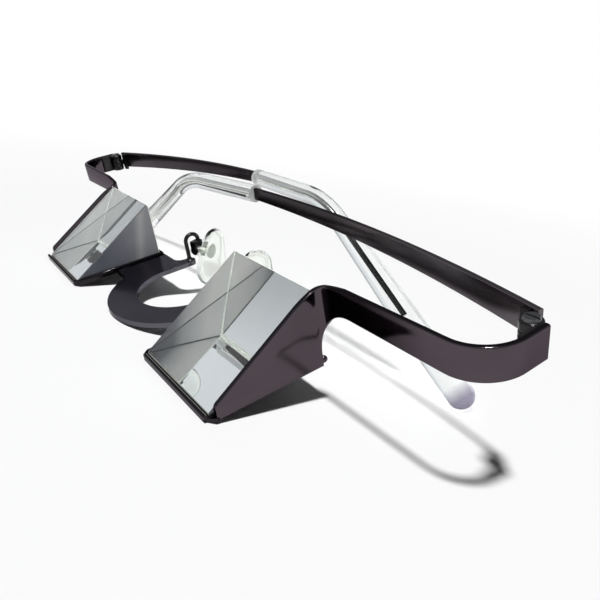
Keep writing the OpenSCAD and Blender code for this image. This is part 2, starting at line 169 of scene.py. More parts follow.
# How bright the tent is by height, from the table (0) to overhead (1), on its two sides.
front_side = ((0.0, 0.38), (0.28, 0.50), (0.33, 0.60), (0.38, 0.72), (0.6, 0.42), (1.0, 0.24))
back_side = ((0.0, 0.96), (0.2, 0.78), (0.3, 0.78), (0.45, 0.46), (0.6, 0.32), (1.0, 0.24))
shades = [fill_ramp(tent.nodes.new("ShaderNodeValToRGB"),
                    [(level, (0.97 * tone, tone, 1.03 * tone)) for level, tone in tones])
          for tones in (front_side, back_side)]
facing = limits(tent.nodes.new("ShaderNodeMapRange"), -0.45, 0.25, "From")
around = tent.nodes.new("ShaderNodeMix")
around.data_type = "RGBA"
either = tent.nodes.new("ShaderNodeMath")
either.operation = "MAXIMUM"
lit, whole = (tent.nodes.new("ShaderNodeMixShader") for _ in range(2))
for start, end in ((toward.outputs["Generated"], height.inputs[0]),
                   (height.outputs["Z"], shades[0].inputs["Fac"]),
                   (height.outputs["Z"], shades[1].inputs["Fac"]),
                   (height.outputs["Y"], facing.inputs["Value"]),
                   (facing.outputs["Result"], around.inputs["Factor"]),
                   (shades[0].outputs["Color"], around.inputs[6]),
                   (shades[1].outputs["Color"], around.inputs[7]),
                   (around.outputs[2], sheen.inputs["Color"]),
                   (rays.outputs["Is Glossy Ray"], either.inputs[0]),
                   (rays.outputs["Is Transmission Ray"], either.inputs[1]),
                   (either.outputs[0], lit.inputs[0]), (ambient.outputs[0], lit.inputs[1]),
                   (sheen.outputs[0], lit.inputs[2]),
                   (rays.outputs["Is Camera Ray"], whole.inputs[0]),
                   (lit.outputs[0], whole.inputs[1]), (backdrop.outputs[0], whole.inputs[2]),
                   (whole.outputs[0], tent.nodes["World Output"].inputs["Surface"])):
    tent.links.new(start, end)

# Level frame
# Sizes below are millimetres in the glasses' own frame: X to the wearer's right, Y from the
# prisms' front edges to their backs, Z up from the prisms' bottom faces. The hinge axis tells
# how far that frame is tilted on the table, and the right prism's box where it starts.
pupil_distance, prism_width, prism_depth, prism_height = 64.0, 23.0, 20.4, 12.6
prism_blunt = 0.6
slope = prism_height / prism_depth
hinges = {j["name"]: j for j in frame["joints"]}
hinge_axis = hinges["temple_left_hinge"]["axis"]
tilt = math.atan2(-hinge_axis[1], hinge_axis[2])
prism_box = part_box("prism_right")
lift = prism_box[0].z / MM - prism_blunt * math.sin(tilt)
shift = prism_box[0].y / MM - prism_blunt * (math.cos(tilt) - slope * math.sin(tilt))


def place(points, side=1):
    """Level millimetres to metres on the table: mirrored for side -1, tilted, moved."""
    x, y, z = np.moveaxis(np.asarray(points, float), -1, 0)
    return MM * np.stack([side * x, y * math.cos(tilt) - z * math.sin(tilt) + shift,
                          y * math.sin(tilt) + z * math.cos(tilt) + lift], -1)


def placed(shells, side=1):
    """Closed shells, each its points and faces, with the points placed on the table."""
    return [(place(points, side), faces) for points, faces in shells]


def turned(points, degrees, to=(0, 0, 0), axis=2):
    """Points turned about X, Y or Z (axis 0, 1 or 2) and then moved to a point."""
    a, b = [i for i in range(3) if i != axis]
    angle = math.radians(degrees if axis != 1 else -degrees)
    made = np.array(points, float)
    made[..., a] = points[..., a] * math.cos(angle) - points[..., b] * math.sin(angle)
    made[..., b] = points[..., a] * math.sin(angle) + points[..., b] * math.cos(angle)
    return made + np.asarray(to, float)


def loft(rings):
    """A closed skin over rings of points (along, around, 3): each ring is joined to the
    next by four-sided faces, and a fan to its middle closes each end."""
    along, around = rings.shape[:2]
    i, j = np.meshgrid(np.arange(along - 1), np.arange(around), indexing="ij")
    k = (j + 1) % around
    quads = np.stack([i * around + j, i * around + k, (i + 1) * around + k,
                      (i + 1) * around + j], -1).reshape(-1, 4).tolist()
    start, end = along * around, along * around + 1
    j, k = np.arange(around), (np.arange(around) + 1) % around
    fan_start = np.stack([k, j, np.full(around, start)], -1).tolist()
    last = (along - 1) * around
    fan_end = np.stack([last + j, last + k, np.full(around, end)], -1).tolist()
    points = np.concatenate([rings.reshape(-1, 3), rings[:1].mean(1), rings[-1:].mean(1)])
    return points, quads + fan_start + fan_end


def slab(outline, low, high):
    """An outline (around, 2) carried straight up from low to high, with flat ends."""
    around = len(outline)
    flat = np.ones((around, 1))
    points = np.concatenate([np.hstack([outline, flat * low]), np.hstack([outline, flat * high])])
    j, k = np.arange(around), (np.arange(around) + 1) % around
    walls = np.stack([j, k, around + k, around + j], -1).tolist()
    return points, walls + [j[::-1].tolist(), (around + j).tolist()]


def rod(path, radius, across, around=28):
    """A round rod: at each point of a flat path a circle, square to the path, whose first
    direction is the plane's normal, called across. Radius is one number or one a point."""
    along = np.gradient(path, axis=0)
    along /= np.linalg.norm(along, axis=1, keepdims=True)
    across = np.broadcast_to(across, path.shape)
    level = np.cross(along, across)
    turn = np.linspace(0, 2 * np.pi, around, endpoint=False)
    radius = np.broadcast_to(radius, len(path))[:, None, None]
    circle = across[:, None] * np.cos(turn)[:, None] + level[:, None] * np.sin(turn)[:, None]
    return loft(path[:, None] + radius * circle)


def lathe(profile, around=48):
    """A profile of (radius, height) points, bottom to top, turned once about Z."""
    turn = np.linspace(0, 2 * np.pi, around, endpoint=False)
    radius, height = np.asarray(profile, float).T
    rings = np.stack([radius[:, None] * np.cos(turn), radius[:, None] * np.sin(turn),
                      np.repeat(height[:, None], around, 1)], -1)
    return loft(rings)


def arc(centre, radius, start, end, steps):
    """Points on a circle in a plane, from one angle to another in degrees."""
    angle = np.radians(np.linspace(start, end, steps))
    return np.stack([centre[0] + radius * np.cos(angle), centre[1] + radius * np.sin(angle)], -1)


def piece(name, shells, finish, body, stands_for=(), bevel=0, smooth=35):
    """One object from closed shells in metres. Each shell's faces are turned outwards by the
    sign of its volume, then it rides on its body and stands for its CAD nodes."""
    mesh = bpy.data.meshes.new(name)
    count, all_points, all_faces = 0, [], []
    for points, faces in shells:
        fans = [(f[0], f[i], f[i + 1]) for f in faces for i in range(1, len(f) - 1)]
        a, b, c = (points[np.array(fans)[:, i]] for i in range(3))
        if np.einsum("ij,ij->i", a, np.cross(b, c)).sum() < 0:
            faces = [f[::-1] for f in faces]
        all_points.append(points)
        all_faces += [[count + i for i in f] for f in faces]
        count += len(points)
    mesh.from_pydata(np.concatenate(all_points).tolist(), [], all_faces)
    mesh.validate()
    mesh.shade_smooth()
    mesh.set_sharp_from_angle(angle=math.radians(smooth))
    made = bpy.data.objects.new(name, mesh)
    scene.collection.objects.link(made)
    mesh.materials.append(finish)
    if bevel:
        soften = made.modifiers.new("soft_edges", "BEVEL")
        soften.width, soften.segments = bevel * MM, 2
        soften.limit_method, soften.angle_limit = "ANGLE", math.radians(40)
        soften.harden_normals = True
    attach(made, body)
    if stands_for:
        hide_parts(*stands_for)
    return made


SIDES = {"right": 1, "left": -1}

# Prisms
# Two wedges of clear optical glass. The back face stands upright before the eye, the bottom
# face is silvered, and the long face slopes up from the thin front edge. These three are
# polished; the two sides and the front are only ground, and every edge has a ground bevel.
glass_clearance = 0.05
prism_in = pupil_distance / 2 - prism_width / 2
prism_out = pupil_distance / 2 + prism_width / 2


def mottled(name, scale, detail, tones, rough=None, **sockets):
    """A finish whose colour wanders between two tones with one noise, and whose roughness
    wanders with it where a range is given. Sockets hold what is the same all over."""
    made, shader, add, link = material(name)
    for socket, value in sockets.items():
        shader.inputs[socket.replace("_", " ")].default_value = value
    where = add("ShaderNodeTexCoord")
    noise = add("ShaderNodeTexNoise", Scale=scale, Detail=detail)
    tone = add("ShaderNodeMix", data_type="RGBA")
    tone.inputs["A"].default_value, tone.inputs["B"].default_value = ((*t, 1) for t in tones)
    link(where.outputs["Object"], noise.inputs["Vector"])
    link(noise.outputs["Fac"], tone.inputs["Factor"])
    link(tone.outputs["Result"], shader.inputs["Base Color"])
    if rough:
        matt = limits(add("ShaderNodeMapRange"), *rough)
        link(noise.outputs["Fac"], matt.inputs["Value"])
        link(matt.outputs["Result"], shader.inputs["Roughness"])
    return made


def ground(name, span, tones, rough, gloss, toward=(0, 0.6, 0.8), painted_glow=0.0):
    """A finely ground face: greys that change along a direction, as (share of the way, tone), with
    the grain of the wheel; where the greys stand for how the face is lit, they are painted light
    and shade. Span is where that way begins and ends. The glow given is painted light: the face
    glows in its own colour in place of the light it would pass on from inside the glass."""
    made, shader, add, link = material(name)
    shader.inputs["Specular IOR Level"].default_value = gloss
    where = add("ShaderNodeTexCoord")
    way = add("ShaderNodeVectorMath", operation="DOT_PRODUCT")
    way.inputs[1].default_value = toward
    share = limits(add("ShaderNodeMapRange"), *span, "From")
    shades = fill_ramp(add("ShaderNodeValToRGB"), tones)
    drawn = add("ShaderNodeMapping", Scale=(1, 0.15, 1))
    grain = add("ShaderNodeTexNoise", Scale=1500.0, Detail=3.0)
    matt = limits(add("ShaderNodeMapRange"), *rough)
    fleck = add("ShaderNodeMix", data_type="RGBA", blend_type="MULTIPLY", Factor=0.05)
    link(where.outputs["Object"], way.inputs[0])
    link(way.outputs["Value"], share.inputs["Value"])
    link(share.outputs["Result"], shades.inputs["Fac"])
    link(where.outputs["Object"], drawn.inputs["Vector"])
    link(drawn.outputs["Vector"], grain.inputs["Vector"])
    link(grain.outputs["Fac"], matt.inputs["Value"])
    link(shades.outputs["Color"], fleck.inputs[6])
    link(grain.outputs["Fac"], fleck.inputs[7])
    link(fleck.outputs[2], shader.inputs["Base Color"])
    # Painted light: the face glows in its own colour.
    link(fleck.outputs[2], shader.inputs["Emission Color"])
    shader.inputs["Emission Strength"].default_value = painted_glow
    link(matt.outputs["Result"], shader.inputs["Roughness"])
    return made


glass = mottled("optical_glass", 90.0, 2.0, ((0.955, 0.975, 0.975), (0.975, 0.99, 0.985)),
                Transmission_Weight=1.0, IOR=1.52, Roughness=0.0)
mirror = mottled("mirror_layer", 150.0, 2.0, ((0.86, 0.88, 0.89), (0.90, 0.91, 0.91)),
                 Metallic=1.0, Roughness=0.0)
slope_way = (-9 * MM, 9 * MM)
# The ground sides' greys from front to back are painted shade and light: dark at the front and pale
# at the back on the right prism, pale all over on the left one.
side_painted_shading = {"right": ((0.0, (0.11, 0.11, 0.12)), (0.35, (0.23, 0.235, 0.25)),
                        (0.48, (0.56, 0.565, 0.56)), (0.68, (0.82, 0.81, 0.78)),
                        (0.78, (0.95, 0.93, 0.90)), (1.0, (0.98, 0.98, 0.94))),
              "left": ((0.0, (0.80, 0.80, 0.79)), (0.55, (0.88, 0.89, 0.87)),
                       (0.7, (0.97, 0.98, 0.95)), (1.0, (0.92, 0.92, 0.90)))}
along_depth = (0, math.cos(tilt), math.sin(tilt))
depth_span = tuple(MM * (d + shift * math.cos(tilt) + lift * math.sin(tilt))
                   for d in (0, prism_depth))
# The ground sides also glow a little in their own colour, more on the left prism: painted light.
ground_side = {word: ground("ground_side_" + word, depth_span, tones, (0.5, 0.7), 0.0,
                            along_depth, {"right": 0.03, "left": 0.1}[word])
               for word, tones in side_painted_shading.items()}
# The bevels are all ground alike. They come in two copies: one pale and glowing, painted light, and
# one dark, painted shade.
painted_lit_edge = ground("painted_lit_edge", slope_way, ((0.0, (0.86, 0.88, 0.82)), (1.0, (0.95, 0.98, 0.90))),
                   (0.4, 0.6), 0.2, painted_glow=0.3)
painted_shaded_edge = ground("painted_shaded_edge", slope_way, ((0.0, (0.08, 0.08, 0.09)), (1.0, (0.12, 0.12, 0.13))),
                   (0.4, 0.6), 0.2)
# The dark paint seen from outside: painted darker at the front and lighter at the back, with a
# painted streak of light about three quarters of the way back.
side_paint_painted_light = ground("side_paint_painted_light", (-21.6 * MM, -1.2 * MM),
                    ((0.0, (0.08, 0.085, 0.11)), (0.31, (0.12, 0.127, 0.155)),
                     (0.55, (0.21, 0.22, 0.25)), (0.67, (0.27, 0.28, 0.31)),
                     (0.75, (0.49, 0.49, 0.485)), (0.82, (0.34, 0.35, 0.37)),
                     (0.9, (0.31, 0.32, 0.34)), (1.0, (0.27, 0.28, 0.30))), (0.3, 0.42), 0.5,
                    (0, 0.994, 0.106))
top_bevel, edge_bevel = 0.5, 0.2
wedge = np.array([[prism_blunt, 0], [prism_depth, 0], [prism_depth, prism_height - top_bevel],
                  [prism_depth - 0.8 * top_bevel, prism_height - 0.8 * top_bevel * slope],
                  [prism_blunt, slope * prism_blunt]])


def drawn_in(outline, by):
    """A convex outline with every side moved inwards by a distance."""
    step = np.roll(outline, -1, 0) - outline
    step /= np.linalg.norm(step, axis=1, keepdims=True)
    into = np.stack([-step[:, 1], step[:, 0]], -1)
    before = np.roll(into, 1, 0)
    middle = into + before
    return outline + by * middle / (np.einsum("ij,ij->i", middle, into))[:, None]


def wedge_skin():
    """The prism's skin: ground bevels round both sides, the polished faces between them."""
    low, high = prism_in + glass_clearance, prism_out - glass_clearance
    small = drawn_in(wedge, edge_bevel)
    rings = [(low, small), (low + edge_bevel, wedge), (high - edge_bevel, wedge), (high, small)]
    return loft(np.array([[(x, *point) for point in outline] for x, outline in rings]))


# The skin's faces by finish, in the outline's order: bottom, back, top bevel, slope, front.
# 0 is clear glass, 1 a ground side, 2 silvering, 3 a ground edge painted pale and glowing as
# painted light, and 4 a ground edge painted dark as painted shade.
bevels = (4, 3, 3, 4, 4)
skin = bevels + (2, 0, 3, 0, 3) + bevels + (1,) * 10
# A thin layer of dark paint lies on each ground side, its grey painted lighter towards the back
# with a streak of painted light. Seen from inside the glass, the ground side has its own painted
# light and shade.
paint_thick, paint_in = 0.03, 0.01
for word, side in SIDES.items():
    prism = piece("prism_" + word + "_glass", placed([wedge_skin()], side), glass, "front",
                  ["prism_" + word], smooth=20)
    for finish in (ground_side[word], mirror, painted_lit_edge, painted_shaded_edge):
        prism.data.materials.append(finish)
    for face, kind in zip(prism.data.polygons, skin):
        face.material_index = kind
    paint_layers = []
    for face_x in (prism_in + paint_in, prism_out - paint_in - paint_thick):
        points, faces = slab(drawn_in(wedge, edge_bevel), face_x, face_x + paint_thick)
        paint_layers.append((points[:, [2, 0, 1]], faces))
    piece("prism_" + word + "_side_paint_painted_light", placed(paint_layers, side), side_paint_painted_light, "front",
          smooth=20)

# Mirror backing
# A thin silvered backing plate under each prism. It lies in the tray and is hidden by the
# glass, so its CAD solid is kept.
for word in SIDES:
    frame["nodes"]["mirror_" + word].data.materials.clear()
    frame["nodes"]["mirror_" + word].data.materials.append(mirror)

# Trays and end pieces
# Each tray is folded from one sheet of black-plated steel: a floor with low lips round the
# glass, and a side plate that rises along the prism, folds outwards and runs on as the end
# piece to the hinge bend. The edges are slightly rounded by polishing before the plating.
sheet, floor_thickness, lip_thickness, lip_height = 0.9, 0.6, 0.6, 0.45
plate_proud, plate_start, plate_round, mirror_thickness = 0.85, 1.3, 1.1, 0.15
end_tall_inner, end_tall_outer, end_level = 4.5, 4.9, 11.85
end_run, end_bend, end_back, fold_radius = 24.8, 6.1, 4.0, 1.5
sheet_soft, lip_soft, bead_radius = 0.28, 0.2, 0.6
lip_cut, floor_cut, plate_cut = 1.2, 1, 1.4
floor_top = -mirror_thickness - glass_clearance
floor_low = floor_top - floor_thickness
tray_front = 0.2 - lip_thickness
tray_in = prism_in - lip_thickness
tray_back = prism_depth + glass_clearance + lip_thickness
plate_x = prism_out + glass_clearance
plate_mid = plate_x + sheet / 2
back_edge = prism_depth - 0.15
end_y = prism_depth + 0.95
fold_y = end_y - fold_radius
end_x = plate_mid + fold_radius
bend_x = prism_out + end_run
outer_x = bend_x + end_bend


def black_chrome(name, tone, rough, along, painted_shade=((0, 1.0), (1, 1.0))):
    """Plated or polished steel: slow changes of tone, drawn lines along one axis in the polish and
    a fine ripple. Along is the direction of the lines as a stretch of the pattern. The shares given
    darken the steel along X, as (millimetres, share of the tone): painted shade and dark
    reflections, not a change in the steel."""
    made, shader, add, link = material(name)
    shader.inputs["Metallic"].default_value = 1.0
    shader.inputs["Specular Tint"].default_value = (0.5, 0.48, 0.5, 1)
    where = add("ShaderNodeTexCoord")
    slow = add("ShaderNodeTexNoise", Scale=90.0, Detail=2.0)
    hue = add("ShaderNodeMix", data_type="RGBA")
    hue.inputs["A"].default_value = (*(0.82 * t for t in tone), 1)
    hue.inputs["B"].default_value = (*(1.18 * t for t in tone), 1)
    apart = add("ShaderNodeSeparateXYZ")
    first, last = painted_shade[0][0], painted_shade[-1][0]
    across = limits(add("ShaderNodeMapRange"), MM * first, MM * last, "From")
    painted_dark = fill_ramp(add("ShaderNodeValToRGB"),
                       [((at - first) / (last - first), (share,) * 3) for at, share in painted_shade])
    plated = add("ShaderNodeMix", data_type="RGBA", blend_type="MULTIPLY", Factor=1.0)
    drawn = add("ShaderNodeMapping", Scale=along)
    lines = add("ShaderNodeTexNoise", Scale=900.0, Detail=3.0)
    matt = limits(add("ShaderNodeMapRange"), *rough)
    ripple = add("ShaderNodeBump", Strength=0.06, Distance=0.02 * MM)
    link(where.outputs["Object"], slow.inputs["Vector"])
    link(slow.outputs["Fac"], hue.inputs["Factor"])
    link(where.outputs["Object"], apart.inputs[0])
    link(apart.outputs["X"], across.inputs["Value"])
    link(across.outputs["Result"], painted_dark.inputs["Fac"])
    link(hue.outputs["Result"], plated.inputs[6])
    link(painted_dark.outputs["Color"], plated.inputs[7])
    link(plated.outputs[2], shader.inputs["Base Color"])
    link(where.outputs["Object"], drawn.inputs["Vector"])
    link(drawn.outputs["Vector"], lines.inputs["Vector"])
    link(lines.outputs["Fac"], matt.inputs["Value"])
    link(matt.outputs["Result"], shader.inputs["Roughness"])
    link(lines.outputs["Fac"], ripple.inputs["Height"])
    link(ripple.outputs["Normal"], shader.inputs["Normal"])
    return made


def bar_rings(middle, normal, half, low, high, soft):
    """Closed rings round a sheet on edge: at each point of its middle line in plan, a rounded
    oblong half a sheet to each side and from low to high, with corners of radius soft."""
    corner = np.radians(np.linspace(0, 90, 4))
    turn = np.concatenate([corner + q * np.pi / 2 for q in range(4)])
    right = np.repeat([1, -1, -1, 1], 4)
    top = np.repeat([1, 1, -1, -1], 4)
    across = right * (half - soft) + soft * np.cos(turn)
    low, high = low[:, None], high[:, None]
    height = np.where(top > 0, high - soft, low + soft) + soft * np.sin(turn)
    plan = middle[:, None] + across[None, :, None] * normal[:, None]
    return np.concatenate([plan, height[..., None]], -1)


def normals_of(path):
    """Unit normals to the right of a path in plan."""
    along = np.gradient(path, axis=0)
    along /= np.linalg.norm(along, axis=1, keepdims=True)
    return np.stack([along[:, 1], -along[:, 0]], -1)


def curve(corners, steps):
    """A Bezier curve from its first corner to its last: neighbouring corners are mixed by the
    same share again and again until one point is left."""
    t = np.linspace(0, 1, steps)[:, None]
    points = [np.array([c], float) for c in corners]
    while len(points) > 1:
        points = [a + (b - a) * t for a, b in zip(points, points[1:])]
    return points[0]


def side_and_end():
    """The sheet laid out flat, then followed through its fold and hinge bend: places along
    its middle line in plan, the normals there, and its lower and upper edges. Behind the side
    plate the lower edge sweeps round and up to the end piece."""
    turned_at = fold_y + fold_radius * math.pi / 2
    bend_from = turned_at + bend_x - end_x
    bend_to = bend_from + end_bend * math.pi / 2
    back_to = bend_to + end_back
    lean = math.atan(slope)
    corner = np.array([plate_start + plate_round, 0])
    corner[1] = slope * corner[0] + plate_proud - plate_round / math.cos(lean)
    front = arc(corner, plate_round, 180, 90 + math.degrees(lean), 9)
    rise = curve([(16.5, slope * 16.5 + plate_proud), (20.3, 13.3),
                  (26.5, end_level + end_tall_inner / 2)], 24)
    upper = np.concatenate([front, rise, [(bend_from, end_level + end_tall_outer / 2),
                                          (back_to, end_level + end_tall_outer / 2)]])
    round_up = curve([(back_edge, 1.5), (back_edge + 0.05, 6.1), (23.6, 9.6), (27.5, 9.6)], 40)
    step = back_edge - 0.002
    lower = np.concatenate([[(plate_start, floor_low), (step, floor_low)], round_up,
                            [(bend_from, end_level - end_tall_outer / 2),
                             (back_to, end_level - end_tall_outer / 2)]])
    s = np.concatenate([front[:, 0], np.linspace(3, 16, 6), rise[:, 0], [step], round_up[:, 0],
                        np.linspace(28, bend_from, 8), np.linspace(bend_from, bend_to, 28)[1:],
                        np.linspace(bend_to, back_to, 4)[1:]])
    s = np.unique(s.round(4))
    fold = np.clip((s - fold_y) / fold_radius, 0, math.pi / 2)
    bend = np.clip((s - bend_from) / end_bend, 0, math.pi / 2)
    x = (plate_mid + fold_radius * (1 - np.cos(fold)) + np.clip(s, turned_at, bend_from)
         - turned_at + end_bend * np.sin(bend))
    y = (np.minimum(s, fold_y) + fold_radius * np.sin(fold) + end_bend * (1 - np.cos(bend))
         + np.maximum(s - bend_to, 0))
    heading = fold - bend
    normal = np.stack([np.cos(heading), -np.sin(heading)], -1)
    return (np.stack([x, y], -1), normal, np.interp(s, *lower.T), np.interp(s, *upper.T))


def lip_bar():
    """The lips as one bar round the glass: front, inner side and back, mitred at the corners."""
    half = lip_thickness / 2
    corners = np.array([[plate_x, tray_front + half], [tray_in + lip_cut, tray_front + half],
                        [tray_in + half, tray_front + lip_cut],
                        [tray_in + half, tray_back - half], [plate_x, tray_back - half]])
    steps = np.diff(corners, axis=0)
    steps /= np.linalg.norm(steps, axis=1, keepdims=True)
    into = np.concatenate([steps[:1], steps])
    out = np.concatenate([steps, steps[-1:]])
    mitre = into + out
    mitre /= np.linalg.norm(mitre, axis=1, keepdims=True)
    widen = 1 / np.einsum("ij,ij->i", mitre, into)
    normal = np.stack([mitre[:, 1], -mitre[:, 0]], -1) * widen[:, None]
    level = np.full(len(corners), 1.0)
    return bar_rings(corners, normal, half, level * (floor_top - 0.2), level * lip_height,
                     lip_soft)


def tray_floor():
    """The floor's outline: an oblong with its two front corners cut off, which stays inside
    the side plate."""
    left, right, seat = tray_in, plate_x + sheet, plate_x + 0.1
    return np.array([[left + floor_cut, tray_front], [right - plate_cut, tray_front],
                     [right, tray_front + plate_cut], [right, plate_start + 0.3],
                     [seat, plate_start + 0.3], [seat, tray_back], [left, tray_back],
                     [left, tray_front + floor_cut]])


# The lips, the floor and the sheet's upper edge take a much darker copy of the tray plating:
# painted shade.
lip_plating_shaded = black_chrome("lip_plating_painted_dark", (0.030, 0.027, 0.030), (0.06, 0.14), (1, 1, 1))
# The front lip's inner edge takes a pale steel copy of the plating: a painted highlight.
painted_highlight_edge = black_chrome("painted_highlight_edge", (0.50, 0.50, 0.47), (0.24, 0.36), (1, 1, 1))
# Painted shade: the tray plating is a little darker from X -40 to 66 mm and near black from 46.6 to
# 54 mm along the right end piece, a painted dark reflection.
tray_plating_with_painted_shade = black_chrome("tray_plating_painted_shade", (0.094, 0.076, 0.088), (0.06, 0.16), (1, 1, 0.12),
                           ((-80, 1.0), (-44, 1.0), (-40, 0.83), (45.6, 0.83), (46.6, 0.1),
                            (54, 0.14), (66, 0.83), (80, 0.95)))
path, normal, low, high = side_and_end()
# A small bead sits at the plate's lower back corner.
bead_turn = np.radians(np.linspace(-90, 90, 13))
bead, bead_faces = lathe(np.stack([bead_radius * np.cos(bead_turn) + 0.001,
                                   bead_radius * np.sin(bead_turn)], -1), 24)
folded = [loft(bar_rings(path, normal, sheet / 2, low, high, sheet_soft)),
          (bead + [plate_mid, back_edge + 0.3, 0.25], bead_faces)]
# Of the 16 faces round each stretch of the sheet three are its upper edge, which take the lips'
# darker plating as painted shade. The first three faces of the lips are the front one's inner edge,
# painted pale as a highlight.
round_sheet, upper_edge, inner_edge = 16, (2, 3, 4), (0, 1, 2)
for word, side in SIDES.items():
    tray = piece("tray_" + word + "_folded", placed(folded, side), tray_plating_with_painted_shade, "front",
                 ["tray_" + word], smooth=40)
    tray.data.materials.append(lip_plating_shaded)
    for face in tray.data.polygons[:round_sheet * (len(path) - 1)]:
        face.material_index = int(face.index % round_sheet in upper_edge)
    shells = [loft(lip_bar()), slab(tray_floor(), floor_low, floor_top)]
    lips = piece("tray_" + word + "_lips", placed(shells, side), lip_plating_shaded, "front",
                 ["tray_" + word], smooth=40)
    lips.data.materials.append(painted_highlight_edge)
    for face in inner_edge:
        lips.data.polygons[face].material_index = 1

# Bridge
# A flat horseshoe of the same plated steel under the nose: its wings are soldered to the two
# trays, and its two tails carry the pad arms. It is cut from plate and its edges are broken.
bridge_outer, bridge_inner, bridge_centre = 16.5, 10.0, 17.7
bridge_thickness, bridge_top, tail_width, bridge_edge = 1.2, -0.05, 2.5, 0.16
wing_reach, wing_short, tail_fillet = 8.4, 0.1, 2
wire_x, wire_y = bridge_inner + tail_width / 2, end_y + 2.45


def bridge_outline():
    """Right half from the front middle round the outside to the tail and back inside; the
    left half is its mirror."""
    wing_low = bridge_centre - wing_reach
    start = math.degrees(math.asin((wing_low - bridge_centre) / bridge_outer))
    outside = arc((0, bridge_centre), bridge_outer, -90, start, 40)
    wing_high = end_y - wing_short
    wing = np.array([[tray_in, wing_low], [tray_in, wing_high]])
    fillet = arc((wire_x + tail_width / 2 + tail_fillet, wing_high + tail_fillet), tail_fillet,
                 270, 180, 9)
    tail = arc((wire_x, wire_y), tail_width / 2, 0, 180, 17)
    inside = arc((0, bridge_centre - 0.4), bridge_inner, 0, -90, 48)
    half = np.concatenate([outside, wing, fillet, tail, inside])
    return np.concatenate([half, half[-2:0:-1] * [-1, 1]])


bridge_finish = black_chrome("bridge_plating", (0.112, 0.107, 0.124), (0.12, 0.24), (1, 1, 1))
plate = slab(bridge_outline(), bridge_top - bridge_thickness, bridge_top)
piece("bridge_plate", placed([plate]), bridge_finish, "front", ["bridge"],
      bevel=bridge_edge, smooth=40)

# Hinges
# Small three-knuckle hinges of blackened steel. Two knuckles and a leaf sit on the inner face
# of the end piece, the middle knuckle and its leaf on the temple, and a slotted screw holds
# them together. Every knuckle has a turned chamfer.
knuckle_radius, hinge_tall, knuckle_gap, leaf = 1.5, 4.4, 0.06, 0.6
leaf_length, strip_start, chamfer, leaf_trim, hinge_edge = 1.3, 0.55, 0.16, 0.05, 0.08
face_out = knuckle_radius + 0.1
hinge_x = outer_x - sheet / 2 - face_out
hinge_y = end_y + end_bend + end_back
hinge_low = end_level - hinge_tall / 2
knuckle_tall = (hinge_tall - 2 * knuckle_gap) / 3
# How many degrees each folded temple slants from straight across.
FOLD = {"right": 9.6, "left": 15.4}
strip_length, strip_bow = 67.7, 16.9
bow_radius = strip_length / math.radians(strip_bow)
leaf_start = knuckle_radius + 0.15
leaf_seat = face_out - (leaf_start + leaf_length - strip_start) ** 2 / (2 * bow_radius) - 0.01


def knuckle(base):
    """A turned knuckle with chamfered ends, standing on a height."""
    top = base + knuckle_tall
    return lathe([(knuckle_radius - chamfer, base), (knuckle_radius, base + chamfer),
                  (knuckle_radius, top - chamfer), (knuckle_radius - chamfer, top)])


def block(low, high):
    """A plain block between two corners."""
    outline = np.array([[low[0], low[1]], [high[0], low[1]], [high[0], high[1]],
                        [low[0], high[1]]])
    return slab(outline, low[2], high[2])


def in_temple(points, word):
    """From the temple's own frame, x along the folded temple, to the level frame."""
    return turned(points, 180 - FOLD[word], (hinge_x, hinge_y, 0))


blackened = mottled("hinge_black", 1400.0, 3.0, ((0.018, 0.017, 0.018), (0.060, 0.056, 0.058)),
                    (0.22, 0.38), Metallic=1.0)
middle_low = hinge_low + knuckle_tall + knuckle_gap
upper_low = hinge_low + 2 * (knuckle_tall + knuckle_gap)
for word, side in SIDES.items():
    front = []
    for base in (hinge_low, upper_low):
        front.append(knuckle(base))
        bottom, top = base + leaf_trim, base + knuckle_tall - leaf_trim
        front.append(block((0, -knuckle_radius, bottom), (face_out, -0.2, top)))
        front.append(block((face_out - leaf, -leaf_start - leaf_trim, bottom),
                           (face_out, -knuckle_radius + 0.1, top)))
    front.append(block((face_out - leaf, -end_back, hinge_low),
                       (face_out, -leaf_start, hinge_low + hinge_tall)))
    front = [(p + [hinge_x, hinge_y, 0], f) for p, f in front]
    piece("hinge_front_" + word + "_knuckles", placed(front, side), blackened, "front",
          ["hinge_front_" + word], bevel=hinge_edge, smooth=30)
    back = [knuckle(middle_low),
            block((0, -leaf_seat, middle_low), (knuckle_radius + 0.3, -0.4,
                                                middle_low + knuckle_tall)),
            block((leaf_start, -leaf_seat, hinge_low),
                  (leaf_start + leaf_length, leaf - leaf_seat, hinge_low + hinge_tall))]
    back = [(in_temple(p, word), f) for p, f in back]
    piece("hinge_temple_" + word + "_knuckle", placed(back, side), blackened,
          "temple_" + word, ["hinge_temple_" + word], bevel=hinge_edge, smooth=30)

# Temples
# Thin spring strips, bowed to the head and narrower towards the tip, plated like the trays.
# A round wire core is welded to each end and runs on inside the clear tip.
strip_tall_hinge, strip_tall_tip, strip_rise, strip_thickness = 4.3, 2.4, 3.25, 0.8
strip_soft, core_radius, core_reach = 0.16, 0.35, 22.0
tip_straight, tip_drop, tip_even, tube_radius, bulb_radius = 19.7, 38.4, 14.0, 1.8, 2.4
core_start, tube_start = -0.3, 0.06
# Each tip's bend in degrees and its radius.
TIP_BEND = {"right": (30.88, 21.7), "left": (38.3, 15.9)}
strip_level = end_level + 0.4
strip_out = face_out + strip_thickness / 2
tip_level = strip_level + strip_rise
bow_end = math.radians(strip_bow)
strip_x = strip_start + bow_radius * math.sin(bow_end)
strip_y = bow_radius * (1 - math.cos(bow_end)) - strip_out


